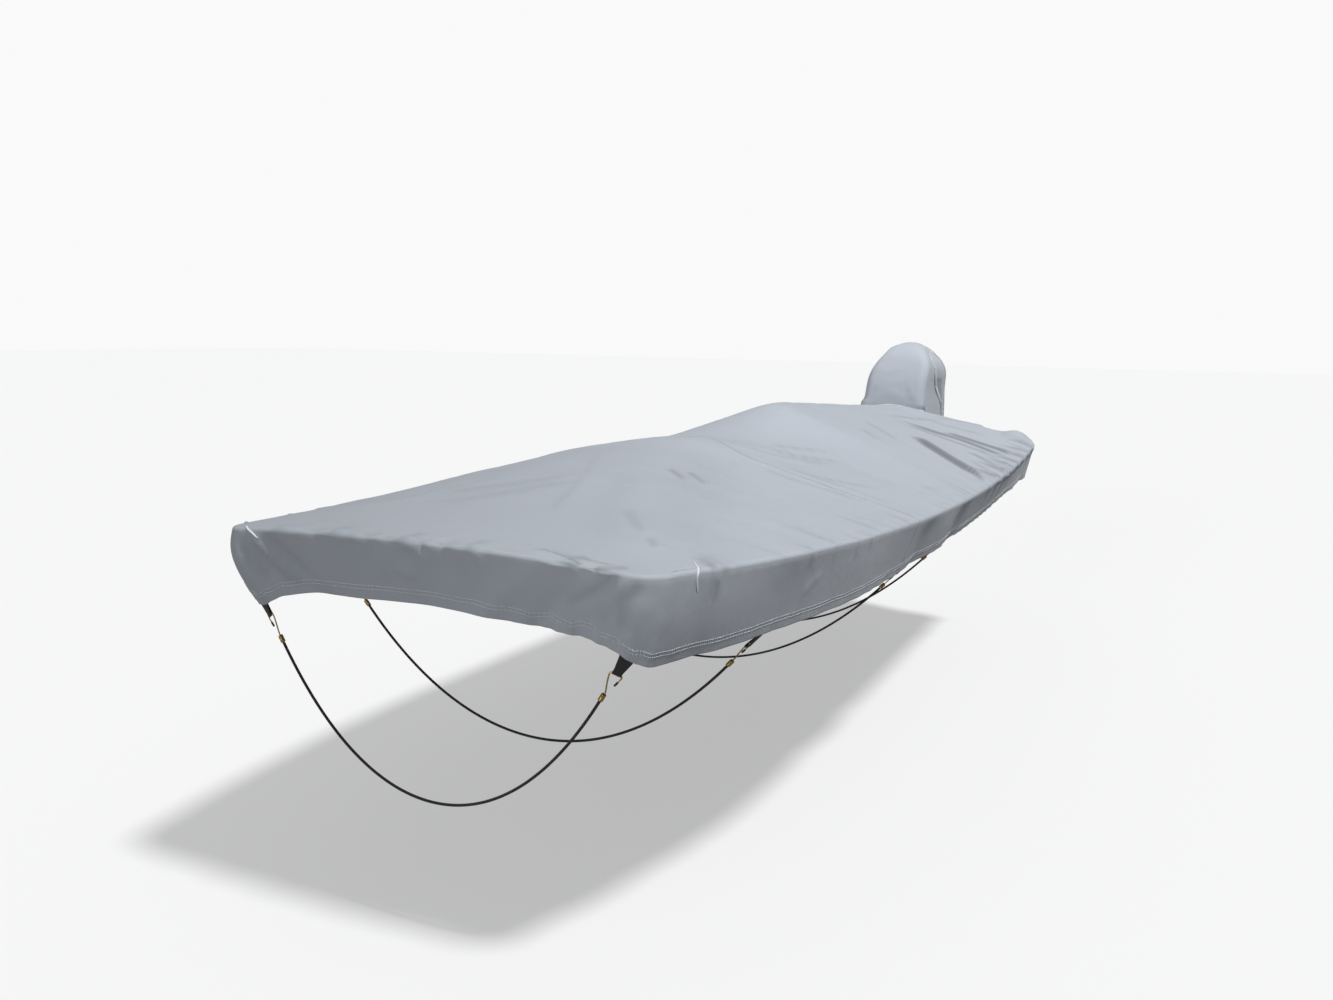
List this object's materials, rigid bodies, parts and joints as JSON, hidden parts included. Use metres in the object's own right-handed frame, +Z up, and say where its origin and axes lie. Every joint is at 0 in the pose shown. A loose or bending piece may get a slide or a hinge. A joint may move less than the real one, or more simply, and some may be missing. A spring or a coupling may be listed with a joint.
{
  "type": "boat cover",
  "caption": "Fitted grey cloth cover for a flat-bottomed open boat: a low top peaked over two posts, a hemmed skirt, a motor hood and hooked shock cords.",
  "frame": {"origin": "under the cloth at the top of the front support post, on the centre line", "axes": "+Y from the bow to the stern along the cover, +X to port, +Z up"},
  "size_m": [1.794, 4.986, 1.2217],
  "materials": {
    "proofed_cloth": "plain woven polyester, proofed, matt",
    "black_webbing": "flat woven webbing",
    "yellow_wire": "yellow zinc-plated wire",
    "black_tip": "dipped vinyl",
    "shock_cord": "braided sleeve"
  },
  "bodies": {
    "root": {"bow_panel": "proofed_cloth", "cord_crimp_port_1": "yellow_wire", "cord_crimp_port_2": "yellow_wire", "cord_crimp_port_3": "yellow_wire", "cord_crimp_port_4": "yellow_wire", "cord_crimp_starboard_1": "yellow_wire", "cord_crimp_starboard_2": "yellow_wire", "cord_crimp_starboard_3": "yellow_wire", "cord_crimp_starboard_4": "yellow_wire", "hood_center_panel": "proofed_cloth", "hood_side_port": "proofed_cloth", "hood_side_starboard": "proofed_cloth", "hook_tip_port_1": "black_tip", "hook_tip_port_2": "black_tip", "hook_tip_port_3": "black_tip", "hook_tip_port_4": "black_tip", "hook_tip_starboard_1": "black_tip", "hook_tip_starboard_2": "black_tip", "hook_tip_starboard_3": "black_tip", "hook_tip_starboard_4": "black_tip", "shock_cord_1": "shock_cord", "shock_cord_2": "shock_cord", "shock_cord_3": "shock_cord", "shock_cord_4": "shock_cord", "stern_panel": "proofed_cloth", "tie_hook_port_1": "yellow_wire", "tie_hook_port_2": "yellow_wire", "tie_hook_port_3": "yellow_wire", "tie_hook_port_4": "yellow_wire", "tie_hook_starboard_1": "yellow_wire", "tie_hook_starboard_2": "yellow_wire", "tie_hook_starboard_3": "yellow_wire", "tie_hook_starboard_4": "yellow_wire", "tie_loop_port_1": "black_webbing", "tie_loop_port_2": "black_webbing", "tie_loop_port_3": "black_webbing", "tie_loop_port_4": "black_webbing", "tie_loop_starboard_1": "black_webbing", "tie_loop_starboard_2": "black_webbing", "tie_loop_starboard_3": "black_webbing", "tie_loop_starboard_4": "black_webbing"}
  },
  "joints": []
}
